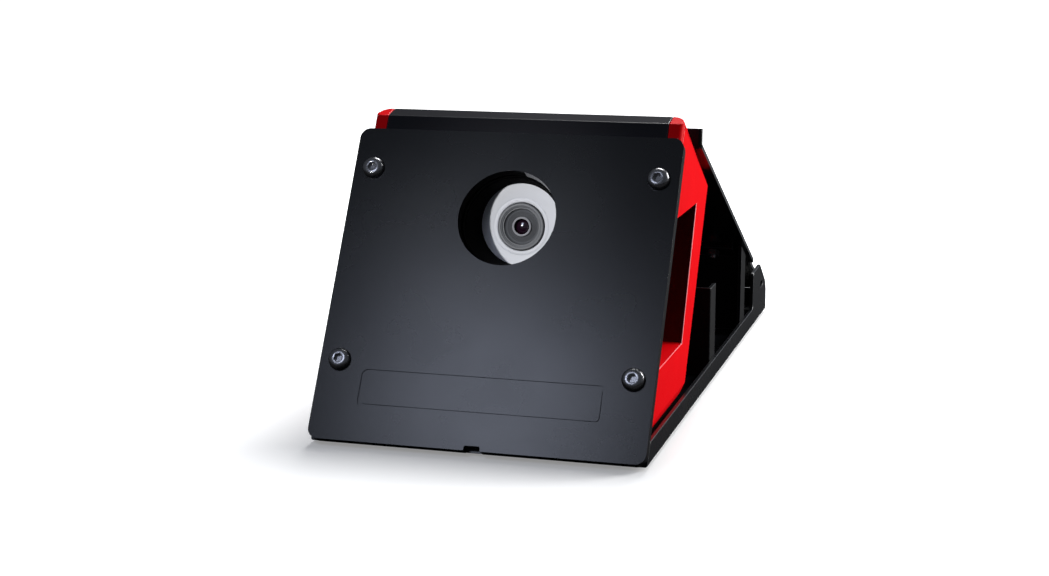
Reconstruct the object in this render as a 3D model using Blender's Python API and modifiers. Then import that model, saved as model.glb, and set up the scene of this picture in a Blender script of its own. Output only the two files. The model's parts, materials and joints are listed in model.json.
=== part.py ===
"""Golf launch monitor in a protective wedge-shaped guard.

A leaning camera and radar unit stands on a folded steel tray.  A thick front plate with one round
window protects it from balls, and a long sloping panel covers it from behind.  Metres, +Z up.
The front faces -Y, X = 0 is the symmetry plane, and the origin is under the centre of the box.
"""
import math

import bmesh
import bpy
from mathutils import Matrix, Vector

# ---------------------------------------------------------------- driving dimensions
PLATE_WIDTH = 0.210
PLATE_HEIGHT = 0.20465
PLATE_THICK = 0.007
PLATE_CORNER = 0.0065
LEAN = math.radians(30.1)
OVERALL_DEPTH = 0.4607

WINDOW_V = 0.148
WINDOW_R = 0.03125
SCREW_X = 0.092
SCREW_V = (0.0497, 0.1766)
SCREW_HOLE_R = 0.0044
NOTCH_W = 0.010
NOTCH_H = 0.003

FOOT_H = 0.002
FOOT_R = 0.011
TRAY_DROP = 0.0035
SHEET = 0.0025
FLANGE_TOP = 0.0100
REAR_WALL_TOP = 0.0140
EAR_TOP = 0.0396
EAR_FRONT_Y = 0.3935
SLOT_Y = 0.4355
SLOT_Z = 0.0225

PANEL_ANGLE = math.radians(26.83)
PANEL_TOP_Y = 0.161
PANEL_TOP_Z = 0.1671
PANEL_THICK = 0.003
PANEL_END_Y = 0.4568
LIP_TOP = 0.1764
LIP_THICK = 0.003

UNIT_FRONT = 0.0093
UNIT_REAR = 0.1125
UNIT_TOP = 0.2190
CREST_TOP = 0.2268
CREST_FOOT = 0.2182
CREST_REAR = 0.020
CREST_FALL = 0.008
CREST_R = 0.008
UNIT_HALF = 0.1012
FASCIA_HALF = 0.0845
CAP_HALF = 0.0920
WALL = 0.003
CORNER_R = 0.0035

LENS_Y = 0.1056
LENS_Z = 0.1173
LENS_TILT = math.radians(10.0)
LENS_R = 0.015
DISC_R = 0.028
DISC_SHOWN_R = 0.026
DISC_RISE = 0.0014

GAP = 0.0003
FRONT_Y = -OVERALL_DEPTH / 2
BASE_Z = FOOT_H + TRAY_DROP
SIN_LEAN = math.sin(LEAN)
COS_LEAN = math.cos(LEAN)

SATIN_BLACK = (0.018, 0.020, 0.024)
SOFT_BLACK = (0.012, 0.012, 0.013)
SHELL_RED = (0.72, 0.012, 0.022)


# ---------------------------------------------------------------- scene helpers
def clear_scene():
    for item in list(bpy.data.objects):
        bpy.data.objects.remove(item, do_unlink=True)


def new_collection(name):
    group = bpy.data.collections.new(name)
    bpy.context.scene.collection.children.link(group)
    return group


clear_scene()
PARTS = new_collection("launch_monitor")
CUTTERS = new_collection("cutters")


def material(name, colour, roughness, metallic=0.0):
    found = bpy.data.materials.get(name)
    if found:
        return found
    made = bpy.data.materials.new(name)
    made.use_nodes = True
    shader = made.node_tree.nodes["Principled BSDF"]
    shader.inputs["Base Color"].default_value = (*colour, 1.0)
    shader.inputs["Roughness"].default_value = roughness
    shader.inputs["Metallic"].default_value = metallic
    made.diffuse_color = (*colour, 1.0)
    return made


def empty(name, matrix):
    made = bpy.data.objects.new(name, None)
    CUTTERS.objects.link(made)
    made.matrix_world = matrix
    return made


GUARD = empty("guard_frame", Matrix.Translation((0.0, FRONT_Y, BASE_Z)))
LEANING = empty("leaning_frame",
                Matrix.Translation((0.0, FRONT_Y, BASE_Z)) @ Matrix.Rotation(math.pi / 2 - LEAN, 4, "X"))
LENS = empty("lens_frame",
             Matrix.Translation((0.0, FRONT_Y + LENS_Y, BASE_Z + LENS_Z))
             @ Matrix.Rotation(math.pi / 2 - LENS_TILT, 4, "X"))
SLOPE = empty("panel_frame",
              Matrix.Translation((0.0, FRONT_Y + PANEL_TOP_Y, BASE_Z + PANEL_TOP_Z))
              @ Matrix.Rotation(-PANEL_ANGLE, 4, "X"))
# local X is world Y, local Y is world Z, local Z is world X
SIDEWAYS = Matrix(((0, 0, 1, 0), (1, 0, 0, 0), (0, 1, 0, 0), (0, 0, 0, 1)))
# local X is world X, local Y is world Z, local Z is world -Y
FACING = Matrix.Rotation(math.pi / 2, 4, "X")
# inside the leaning frame: local X is depth into the unit, local Y is up the lean, local Z is X
LEAN_SIDE = Matrix(((0, 0, 1, 0), (0, 1, 0, 0), (-1, 0, 0, 0), (0, 0, 0, 1)))
# inside the leaning frame: local X is X, local Y is depth into the unit, local Z is up the lean
LEAN_PLAN = Matrix(((1, 0, 0, 0), (0, 0, 1, 0), (0, -1, 0, 0), (0, 0, 0, 1)))


def attach(obj, parent, local):
    obj.parent = parent
    obj.matrix_parent_inverse = Matrix.Identity(4)
    obj.matrix_basis = local


def place(obj, group, finish):
    group.objects.link(obj)
    if finish:
        obj.data.materials.append(finish)


def as_cutter(obj):
    for group in list(obj.users_collection):
        group.objects.unlink(obj)
    CUTTERS.objects.link(obj)
    obj.hide_render = True
    obj.display_type = "WIRE"


# ---------------------------------------------------------------- outlines
def arc(cx, cy, radius, start, end, steps):
    span = end - start
    return [(cx + radius * math.cos(start + span * i / steps),
             cy + radius * math.sin(start + span * i / steps)) for i in range(steps + 1)]


def circle(cx, cy, radius, steps=32):
    return arc(cx, cy, radius, 0.0, 2 * math.pi, steps)[:-1]


def rounded(corners, steps=5):
    """Outline through (x, y, radius) corners, with an arc of that radius at each."""
    points = []
    for index, (x, y, radius) in enumerate(corners):
        here = Vector((x, y))
        if radius <= 0.0:
            points.append((x, y))
            continue
        before = (Vector(corners[index - 1][:2]) - here).normalized()
        after = (Vector(corners[(index + 1) % len(corners)][:2]) - here).normalized()
        half = before.angle(after) / 2
        reach = radius / math.tan(half)
        centre = here + (before + after).normalized() * (radius / math.sin(half))
        first = here + before * reach - centre
        last = here + after * reach - centre
        start = math.atan2(first.y, first.x)
        turn = (math.atan2(last.y, last.x) - start + math.pi) % (2 * math.pi) - math.pi
        points += arc(centre.x, centre.y, radius, start, start + turn, steps)
    return points


def box_outline(x0, y0, x1, y1, radius=0.0, steps=4):
    return rounded([(x0, y0, radius), (x1, y0, radius), (x1, y1, radius), (x0, y1, radius)], steps)


def slot_outline(cx, cy, length, height, steps=8):
    half = (length - height) / 2
    radius = height / 2
    right = arc(cx + half, cy, radius, -math.pi / 2, math.pi / 2, steps)
    left = arc(cx - half, cy, radius, math.pi / 2, 3 * math.pi / 2, steps)
    return right + left


def mirrored_x(points):
    return [(-x, y) for x, y in points]


# ---------------------------------------------------------------- solids
def baked(obj, name):
    """New object that holds the evaluated mesh of obj, which is removed."""
    graph = bpy.context.evaluated_depsgraph_get()
    mesh = bpy.data.meshes.new_from_object(obj.evaluated_get(graph))
    work = bmesh.new()
    work.from_mesh(mesh)
    bmesh.ops.remove_doubles(work, verts=work.verts, dist=0.000001)
    bmesh.ops.recalc_face_normals(work, faces=work.faces)
    work.to_mesh(mesh)
    work.free()
    mesh.name = name
    mesh.materials.clear()
    made = bpy.data.objects.new(name, mesh)
    bpy.data.objects.remove(obj, do_unlink=True)
    made.name = name
    return made


def flat_solid(name, loops, low, high, parent, finish=None, local=None, group=None):
    """Solid between low and high along local Z, from closed outlines; inner outlines are holes."""
    curve = bpy.data.curves.new(name + "_outline", "CURVE")
    curve.dimensions = "2D"
    curve.fill_mode = "BOTH"
    curve.extrude = (high - low) / 2
    for loop in loops:
        spline = curve.splines.new("POLY")
        spline.points.add(len(loop) - 1)
        for point, (x, y) in zip(spline.points, loop):
            point.co = (x, y, 0.0, 1.0)
        spline.use_cyclic_u = True
    sketch = bpy.data.objects.new(name + "_outline", curve)
    CUTTERS.objects.link(sketch)
    made = baked(sketch, name)
    place(made, group or PARTS, finish)
    frame = (local or Matrix.Identity(4)) @ Matrix.Translation((0.0, 0.0, (low + high) / 2))
    attach(made, parent, frame)
    return made


def turned(name, profile, parent, finish=None, local=None, steps=40, group=None):
    """Solid of revolution about local Z; the profile's outer side runs from top to bottom."""
    mesh = bpy.data.meshes.new(name)
    edges = [(i, i + 1) for i in range(len(profile) - 1)]
    if profile[0][0] > 0.0:
        edges.append((len(profile) - 1, 0))
    mesh.from_pydata([(r, 0.0, h) for r, h in profile], edges, [])
    made = bpy.data.objects.new(name, mesh)
    place(made, group or PARTS, finish)
    screw = made.modifiers.new("turn", "SCREW")
    screw.axis = "Z"
    screw.steps = steps
    screw.render_steps = steps
    screw.use_merge_vertices = True
    screw.merge_threshold = 0.00001
    screw.use_smooth_shade = True
    attach(made, parent, local or Matrix.Identity(4))
    return made


def block(name, low, high, parent, finish=None, local=None, group=None):
    """Box between two corners of the parent's frame."""
    size = Vector(high) - Vector(low)
    centre = (Vector(high) + Vector(low)) / 2
    work = bmesh.new()
    bmesh.ops.create_cube(work, size=1.0)
    bmesh.ops.scale(work, vec=size, verts=work.verts)
    mesh = bpy.data.meshes.new(name)
    work.to_mesh(mesh)
    work.free()
    made = bpy.data.objects.new(name, mesh)
    place(made, group or PARTS, finish)
    attach(made, parent, (local or Matrix.Identity(4)) @ Matrix.Translation(centre))
    return made


def boolean(target, tool, operation):
    as_cutter(tool)
    step = target.modifiers.new(operation.lower(), "BOOLEAN")
    step.operation = operation
    step.object = tool
    step.solver = "EXACT"
    return target


def cut(target, *tools):
    for tool in tools:
        boolean(target, tool, "DIFFERENCE")
    return target


def join(target, *tools):
    for tool in tools:
        boolean(target, tool, "UNION")
    return target


def common(target, *tools):
    for tool in tools:
        boolean(target, tool, "INTERSECT")
    return target


def soften(target, width, segments=2, angle=40.0):
    bevel = target.modifiers.new("soft_edges", "BEVEL")
    bevel.width = width
    bevel.segments = segments
    bevel.limit_method = "ANGLE"
    bevel.angle_limit = math.radians(angle)
    bevel.use_clamp_overlap = True
    return target


def repeated(master, names_and_places, parent):
    """Copies that share one finished mesh, each its own object."""
    graph = bpy.context.evaluated_depsgraph_get()
    mesh = bpy.data.meshes.new_from_object(master.evaluated_get(graph))
    mesh.name = names_and_places[0][0].rsplit("_", 1)[0]
    bpy.data.objects.remove(master, do_unlink=True)
    made = []
    for name, spot in names_and_places:
        copy = bpy.data.objects.new(name, mesh)
        PARTS.objects.link(copy)
        attach(copy, parent, spot)
        made.append(copy)
    return made


# ---------------------------------------------------------------- geometry of the leaning unit
def lean_y(depth, z):
    """Y, from the plate's foot, of a point at this depth behind the plate and this height."""
    return (depth + z * SIN_LEAN) / COS_LEAN


# ---------------------------------------------------------------- guard
def front_plate(finish):
    half = PLATE_WIDTH / 2
    notch = NOTCH_W / 2
    outline = rounded([(-half, 0.0, PLATE_CORNER), (-notch, 0.0, 0.0005), (-notch, NOTCH_H, 0.001),
                       (notch, NOTCH_H, 0.001), (notch, 0.0, 0.0005), (half, 0.0, PLATE_CORNER),
                       (half, PLATE_HEIGHT, PLATE_CORNER), (-half, PLATE_HEIGHT, PLATE_CORNER)], 6)
    loops = [outline, circle(0.0, WINDOW_V, WINDOW_R, 56)]
    for v in SCREW_V:
        for side in (-1, 1):
            loops.append(circle(side * SCREW_X, v, SCREW_HOLE_R, 16))
    plate = flat_solid("front_guard_plate", loops, -PLATE_THICK, 0.0, LEANING, finish)
    return soften(plate, 0.0005, 1)


def button_screw(name, head_r, head_h, shank_r, length, hexagon, finish, steps, rings):
    """Domed socket screw; its head stands on local Z = 0 and its shank goes down."""
    dome = [(head_r * math.cos(t), head_h * math.sin(t) ** 0.9)
            for t in (math.radians(68 - 58 * i / rings) for i in range(rings + 1))]
    profile = [(0.0, head_h)] + dome + [(head_r, 0.0006), (head_r, 0.0), (shank_r, 0.0),
                                        (shank_r, -length + 0.0008), (shank_r - 0.0008, -length),
                                        (0.0, -length)]
    screw = turned(name, profile, GUARD, finish, steps=steps)
    socket = flat_solid(name + "_socket", [circle(0.0, 0.0, hexagon / math.sqrt(3), 6)],
                        head_h * 0.3, head_h * 1.5, GUARD)
    return cut(screw, socket)


def guard_screws(finish, steel):
    names = ["guard_screw_lower_left", "guard_screw_lower_right",
             "guard_screw_upper_left", "guard_screw_upper_right"]
    spots = [(side * SCREW_X, v) for v in SCREW_V for side in (-1, 1)]
    screw = button_screw("screw_master", 0.007, 0.0044, 0.0039, 0.0215, 0.005, finish, 24, 3)
    lift = Matrix.Translation
    repeated(screw, [(n, lift((x, v, GAP))) for n, (x, v) in zip(names, spots)], LEANING)
    spacer_low = -UNIT_FRONT + GAP
    spacer_high = -PLATE_THICK - GAP
    spacer = flat_solid("spacer_master", [circle(0, 0, 0.0085, 28), circle(0, 0, SCREW_HOLE_R, 20)],
                        spacer_low, spacer_high, GUARD, steel)
    middle = (spacer_low + spacer_high) / 2
    repeated(spacer, [(n.replace("screw", "spacer"), lift((x, v, middle)))
                      for n, (x, v) in zip(names, spots)], LEANING)
    nut_top = -UNIT_FRONT - WALL - GAP
    nut = flat_solid("nut_master", [circle(0, 0, 0.0056, 24), circle(0, 0, 0.0042, 20)],
                     -0.0065, 0.0, GUARD, steel)
    repeated(nut, [(n.replace("screw", "nut"), lift((x, v, nut_top - 0.00325)))
                   for n, (x, v) in zip(names, spots)], LEANING)


def side_flange_outline():
    low = -TRAY_DROP
    rear = OVERALL_DEPTH
    front_low = lean_y(PLATE_THICK + GAP, low)
    front_high = lean_y(PLATE_THICK + GAP, FLANGE_TOP)
    return rounded([(front_low, low, 0.0), (rear, low, 0.0015), (rear - 0.0005, 0.014, 0.006),
                    (rear - 0.0045, 0.0215, 0.008), (0.4272, EAR_TOP, 0.0012),
                    (EAR_FRONT_Y, EAR_TOP - 0.001, 0.003), (EAR_FRONT_Y, FLANGE_TOP, 0.004),
                    (front_high, FLANGE_TOP, 0.002)], 4)


def base_tray(finish):
    """Folded tray: a floor and two side flanges, trimmed to the side outline, plus two end lips."""
    half = PLATE_WIDTH / 2
    low = -TRAY_DROP
    section = rounded([(-half, low, 0.0015), (half, low, 0.0015), (half, 0.06, 0.0),
                       (half - SHEET, 0.06, 0.0), (half - SHEET, low + SHEET, 0.0008),
                       (-half + SHEET, low + SHEET, 0.0008), (-half + SHEET, 0.06, 0.0),
                       (-half, 0.06, 0.0)], 3)
    tray = flat_solid("base_tray", [section], -OVERALL_DEPTH - 0.01, 0.02, GUARD, finish, local=FACING)
    sides = flat_solid("tray_sides", [side_flange_outline()], -half - 0.01, half + 0.01, GUARD,
                       local=SIDEWAYS)
    common(tray, sides)
    slots = flat_solid("tray_slots", [slot_outline(SLOT_Y, SLOT_Z, 0.0125, 0.0046)],
                       -half - 0.01, half + 0.01, GUARD, local=SIDEWAYS)
    cut(tray, slots)
    rear = block("rear_wall", (-half + 0.0012, OVERALL_DEPTH - SHEET - 0.0006, low + 0.0008),
                 (half - 0.0012, OVERALL_DEPTH - 0.0006, REAR_WALL_TOP), GUARD)
    lip = block("front_lip", (-0.080, 0.0022, -PLATE_THICK - 0.0018), (0.080, 0.0135, -PLATE_THICK - 0.0004),
                LEANING)
    return join(tray, rear, lip)


def rear_panel(finish):
    half = PLATE_WIDTH / 2
    to_slope = 1.0 / math.cos(PANEL_ANGLE)
    ear = (EAR_FRONT_Y - 0.0015 - PANEL_TOP_Y) * to_slope
    end = (PANEL_END_Y - PANEL_TOP_Y) * to_slope
    narrow = half - SHEET - GAP
    start = 0.0015
    outline = rounded([(-half, start, 0.0), (half, start, 0.0), (half, ear, 0.001), (narrow, ear, 0.0008),
                       (narrow, end, 0.003), (-narrow, end, 0.003), (-narrow, ear, 0.0008),
                       (-half, ear, 0.001)], 3)
    loops = [outline]
    for x, s in panel_screw_spots():
        loops.append(circle(x, s, 0.0028, 16))
    panel = flat_solid("rear_guard_panel", loops, -PANEL_THICK, 0.0, SLOPE, finish)
    back = PANEL_TOP_Y + LIP_THICK
    plan = rounded([(-half + 0.0002, PANEL_TOP_Y, 0.0027), (half - 0.0002, PANEL_TOP_Y, 0.0027),
                    (half - 0.0002, back, 0.0), (-half + 0.0002, back, 0.0)], 5)
    lip = flat_solid("panel_lip", [plan], PANEL_TOP_Z - 0.0036, LIP_TOP, GUARD)
    return join(panel, lip)


def panel_screw_spots():
    to_slope = 1.0 / math.cos(PANEL_ANGLE)
    upper = (0.188 - PANEL_TOP_Y) * to_slope
    lower = (0.3575 - PANEL_TOP_Y) * to_slope
    return [(-0.070, upper), (0.070, upper), (-0.080, lower), (0.080, lower)]


def panel_fasteners(finish, steel):
    spots = panel_screw_spots()
    screw = button_screw("panel_screw_master", 0.0048, 0.0027, 0.0024, 0.0125, 0.003, finish, 16, 1)
    repeated(screw, [("panel_screw_%d" % (i + 1), Matrix.Translation((x, s, GAP)))
                     for i, (x, s) in enumerate(spots)], SLOPE)
    under = -PANEL_THICK - GAP
    washer = flat_solid("panel_spacer_master", [circle(0, 0, 0.0055, 20), circle(0, 0, 0.0028, 16)],
                        -0.0020, 0.0020, GUARD, steel)
    repeated(washer, [("panel_spacer_left", Matrix.Translation((*spots[0], under - 0.0020))),
                      ("panel_spacer_right", Matrix.Translation((*spots[1], under - 0.0020)))], SLOPE)
    nut = flat_solid("panel_nut_master", [circle(0, 0, 0.004 / math.cos(math.pi / 6), 6),
                                          circle(0, 0, 0.0027, 16)], -0.002, 0.002, GUARD, steel)
    nut_z = under - SHEET - GAP - 0.002
    repeated(nut, [("panel_nut_left", Matrix.Translation((*spots[2], nut_z))),
                   ("panel_nut_right", Matrix.Translation((*spots[3], nut_z)))], SLOPE)


def bay_rib(name, y, flange_end, top, finish):
    """Upright cross wall whose two ends are folded along the tray's sides."""
    half = PLATE_WIDTH / 2 - SHEET - GAP
    near, far = (y, y + SHEET) if flange_end > y else (y, y - SHEET)
    outline = rounded([(-half, near, 0.0015), (half, near, 0.0015), (half, flange_end, 0.0),
                       (half - SHEET, flange_end, 0.0), (half - SHEET, far, 0.0),
                       (-half + SHEET, far, 0.0), (-half + SHEET, flange_end, 0.0),
                       (-half, flange_end, 0.0)], 3)
    low = -TRAY_DROP + SHEET + GAP
    return flat_solid(name, [outline], low, top, GUARD, finish)


def bay_ribs(finish):
    bay_rib("bay_rib_front", 0.2210, 0.2400, 0.0605, finish)
    rear = bay_rib("bay_rib_rear", 0.3690, 0.3500, 0.0700, finish)
    to_slope = 1.0 / math.cos(PANEL_ANGLE)
    above = block("rib_trim", (-0.2, 0.10, -PANEL_THICK - GAP), (0.2, 0.30, 0.05), SLOPE)
    cut(rear, above)
    low = (0.3520 - PANEL_TOP_Y) * to_slope
    high = (0.3700 - PANEL_TOP_Y) * to_slope
    loops = [box_outline(-0.095, low, 0.095, high)]
    for x, s in panel_screw_spots()[2:]:
        loops.append(circle(x, s, 0.0028, 16))
    shelf = flat_solid("rib_shelf", loops, -PANEL_THICK - GAP - SHEET, -PANEL_THICK - GAP, SLOPE)
    return join(rear, shelf)


def rubber_feet(finish):
    spots = [("front_left", -0.085, 0.035), ("front_right", 0.085, 0.035),
             ("rear_left", -0.085, 0.435), ("rear_right", 0.085, 0.435)]
    profile = [(0.0, -GAP), (FOOT_R, -GAP), (FOOT_R, -FOOT_H + 0.0006),
               (FOOT_R - 0.0008, -FOOT_H), (0.0, -FOOT_H)]
    foot = turned("foot_master", profile, GUARD, finish, steps=24)
    repeated(foot, [("rubber_foot_" + tag, Matrix.Translation((x, y, -TRAY_DROP)))
                    for tag, x, y in spots], GUARD)


# ---------------------------------------------------------------- casing of the unit
def side_profile(depth0, depth1, z0, v1):
    """Side view of a leaning box: from depth0 to depth1, from height z0 up to v1 along the lean."""
    top_front = (v1 * SIN_LEAN + depth0 * COS_LEAN, v1 * COS_LEAN - depth0 * SIN_LEAN)
    top_rear = (v1 * SIN_LEAN + depth1 * COS_LEAN, v1 * COS_LEAN - depth1 * SIN_LEAN)
    return [(lean_y(depth0, z0), z0), (lean_y(depth1, z0), z0), top_rear, top_front]


POCKET_TOP = 0.1275
POCKET_BOTTOM = 0.0435
POCKET_X = 0.0815
POCKET_REAR = (0.1662, 0.1244)
POCKET_DEPTH0 = 0.0235
COVER_BOTTOM = 0.0070
BEVEL_TOP = 0.0153


def pocket_profile(grow):
    """Grip pocket in side view, grown outward by grow."""
    low, high = POCKET_BOTTOM - grow, POCKET_TOP + grow
    front = POCKET_DEPTH0 - grow
    return [(lean_y(front, low), low), (POCKET_REAR[1] + grow * 1.1, low),
            (POCKET_REAR[0] + grow * 1.3, high), (lean_y(front, high), high)]


def crest_line():
    """Top of the casing in side view: a chamfer up to the crest, then a slope down to the top."""
    run = CREST_TOP - CREST_FOOT
    return [(UNIT_FRONT, CREST_FOOT), (UNIT_FRONT + run, CREST_TOP), (CREST_REAR, CREST_TOP),
            (CREST_REAR + CREST_FALL, UNIT_TOP)]


def across(side, low, high):
    """The two X limits of a sideways solid on one side, in rising order."""
    return sorted((side * low, side * high))


def side_cover(side, name, finish):
    """Red side cover: open toward the middle, with a deep grip pocket in its outer wall."""
    front, rear = UNIT_FRONT, UNIT_REAR
    plan = rounded([(FASCIA_HALF + GAP, front, 0.0), (UNIT_HALF, front, CORNER_R),
                    (UNIT_HALF, rear, 0.002), (FASCIA_HALF + GAP, rear, 0.0)], 6)
    edge = UNIT_HALF + 0.001
    inner = CAP_HALF + GAP
    face = [(FASCIA_HALF - 0.01, -0.06), (edge, -0.06), (edge, CREST_TOP - CREST_R)]
    face += arc(UNIT_HALF - CREST_R, CREST_TOP - CREST_R, CREST_R, 0.0, math.pi / 2, 9)
    face += [(inner, CREST_TOP), (inner, 0.203), (FASCIA_HALF - 0.01, 0.203)]
    if side < 0:
        plan = mirrored_x(plan)
        face = mirrored_x(face)
    cover = flat_solid(name, [plan], -0.08, 0.230, LEANING, finish, local=LEAN_PLAN)
    common(cover, flat_solid(name + "_face", [face], -0.2, 0.02, LEANING))
    above = [(-0.01, CREST_FOOT)] + crest_line() + [(0.14, UNIT_TOP), (0.14, 0.26), (-0.01, 0.26)]
    low, high = across(side, 0.05, 0.15)
    cut(cover, flat_solid(name + "_above", [above], low, high, LEANING, local=LEAN_SIDE))
    low, high = across(side, 0.05, UNIT_HALF - WALL)
    hollow = side_profile(front + WALL, rear - WALL, COVER_BOTTOM + WALL, UNIT_TOP - WALL)
    cut(cover, flat_solid(name + "_hollow", [hollow], low, high, GUARD, local=SIDEWAYS))
    low, high = across(side, POCKET_X - 0.0025, UNIT_HALF - 0.0015)
    join(cover, flat_solid(name + "_cup", [pocket_profile(0.0025)], low, high, GUARD, local=SIDEWAYS))
    low, high = across(side, POCKET_X, UNIT_HALF + 0.01)
    pocket = flat_solid(name + "_pocket", [pocket_profile(0.0)], low, high, GUARD, local=SIDEWAYS)
    low, high = across(side, 0.04, 0.2)
    under = block(name + "_under", (low, -0.2, -0.2), (high, 0.5, COVER_BOTTOM), GUARD)
    low, high = across(side, UNIT_HALF - 0.0012, UNIT_HALF + 0.01)
    seam = block(name + "_seam", (low, -0.1, -front - 0.0052), (high, 0.24, -front - 0.0040), LEANING)
    slant = math.atan2(0.0035, BEVEL_TOP - COVER_BOTTOM)
    low, high = across(side, 0.0, 0.03)
    bevel = block(name + "_bevel", (low, -0.1, -0.03), (high, 0.4, 0.0), GUARD,
                  local=Matrix.Translation((side * UNIT_HALF, 0.0, BEVEL_TOP))
                  @ Matrix.Rotation(side * slant, 4, "Y"))
    cut(cover, pocket, under, seam, bevel)
    for v in SCREW_V:
        cut(cover, flat_solid("%s_hole_%d" % (name, 1000 * v), [circle(side * SCREW_X, v, SCREW_HOLE_R, 20)],
                              -front - 0.008, 0.0, LEANING))
    return cover


def top_cap(finish):
    """Black cap between the side covers, with the casing's crest along its front."""
    front, rear = UNIT_FRONT, UNIT_REAR - GAP
    bottom = 0.2033
    outer = [(front, bottom)] + crest_line() + [(rear - 0.003, UNIT_TOP), (rear, UNIT_TOP - 0.003),
                                                (rear, bottom)]
    under = UNIT_TOP - WALL
    inner = [(rear - WALL, bottom), (rear - WALL, under), (front + 4 * WALL, under),
             (front + WALL, CREST_FOOT - WALL), (front + WALL, bottom)]
    cap = flat_solid("top_cap", [outer + inner], -UNIT_HALF, UNIT_HALF, LEANING, finish,
                     local=LEAN_SIDE)
    common(cap, block("top_cap_ends", (-CAP_HALF, 0.19, -0.2), (CAP_HALF, 0.25, 0.02), LEANING))
    for x, s in panel_screw_spots()[:2]:
        cut(cap, flat_solid("cap_hole_%d" % round(1000 * x), [circle(x, s, 0.0029, 16)], -0.03, 0.0, SLOPE))
    return cap


def front_fascia(finish):
    low = (COVER_BOTTOM + (UNIT_FRONT + WALL) * SIN_LEAN) / COS_LEAN + 0.001
    loops = [box_outline(-FASCIA_HALF, low, FASCIA_HALF, 0.203, 0.001, 2),
             circle(0.0, WINDOW_V + 0.0012, 0.0305, 56)]
    depth = UNIT_FRONT + 0.0001
    return flat_solid("front_fascia", loops, -depth - WALL, -depth, LEANING, finish)


BUTTON_SPOT = (0.062, 0.132)
LIGHT_SPOT = (0.042, 0.132)
POWER_SPOT = (0.062, 0.100)
NETWORK_SPOT = (0.036, 0.100)


def rear_cover(finish):
    low = (COVER_BOTTOM + UNIT_REAR * SIN_LEAN) / COS_LEAN + 0.001
    loops = [box_outline(-FASCIA_HALF, low, FASCIA_HALF, 0.203, 0.001, 2),
             circle(*BUTTON_SPOT, 0.0068, 28), circle(*LIGHT_SPOT, 0.0022, 16),
             circle(*POWER_SPOT, 0.0048, 24),
             box_outline(NETWORK_SPOT[0] - 0.0082, NETWORK_SPOT[1] - 0.0070,
                         NETWORK_SPOT[0] + 0.0082, NETWORK_SPOT[1] + 0.0070)]
    for i in range(6):
        loops.append(slot_outline(-0.045, 0.090 + 0.008 * i, 0.055, 0.003, 4))
    return flat_solid("rear_cover", loops, -UNIT_REAR + 0.0003, -UNIT_REAR + 0.0003 + WALL,
                      LEANING, finish)


def unit_base(finish):
    """Shallow pan under the unit, which the covers stand on."""
    low = -TRAY_DROP + SHEET + GAP
    high = COVER_BOTTOM - GAP
    half = UNIT_HALF - 0.0035
    front, rear = UNIT_FRONT + 0.0004, UNIT_REAR - 0.0003
    outer = [(lean_y(front, low), low), (lean_y(rear, low), low), (lean_y(rear, high), high),
             (lean_y(front, high), high)]
    pan = flat_solid("unit_base", [outer], -half, half, GUARD, finish, local=SIDEWAYS)
    front, rear, low, high = front + WALL, rear - WALL, low + SHEET, high + 0.01
    inner = [(lean_y(front, low), low), (lean_y(rear, low), low), (lean_y(rear, high), high),
             (lean_y(front, high), high)]
    room = flat_solid("unit_base_room", [inner], -half + WALL, half - WALL, GUARD, local=SIDEWAYS)
    return cut(pan, room)


# ---------------------------------------------------------------- camera
def ring_points(matrix, radius, steps, flip=False):
    turn = -1 if flip else 1
    return [matrix @ Vector((radius * math.cos(turn * 2 * math.pi * i / steps),
                             radius * math.sin(turn * 2 * math.pi * i / steps), 0.0))
            for i in range(steps)]


def camera_shroud(finish):
    """Funnel that runs from the leaning fascia to the nearly upright camera face: a loft."""
    steps = 48
    lean = LEANING.matrix_world
    lens = LENS.matrix_world
    mouth = lean @ Matrix.Translation((0.0, WINDOW_V + 0.0012, -UNIT_FRONT - WALL - 0.0001 - GAP))
    throat = lens @ Matrix.Translation((0.0, DISC_RISE, -0.0010 + GAP))
    rings = [ring_points(mouth, 0.0325, steps), ring_points(mouth, 0.0302, steps),
             ring_points(throat, DISC_SHOWN_R, steps), ring_points(throat, DISC_SHOWN_R + 0.0016, steps)]
    work = bmesh.new()
    loops = [[work.verts.new(p) for p in ring] for ring in rings]
    for index, loop in enumerate(loops):
        following = loops[(index + 1) % len(loops)]
        for i in range(steps):
            j = (i + 1) % steps
            work.faces.new((loop[i], loop[j], following[j], following[i]))
    bmesh.ops.recalc_face_normals(work, faces=work.faces)
    mesh = bpy.data.meshes.new("camera_shroud")
    work.to_mesh(mesh)
    work.free()
    made = bpy.data.objects.new("camera_shroud", mesh)
    place(made, PARTS, finish)
    return made


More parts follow.
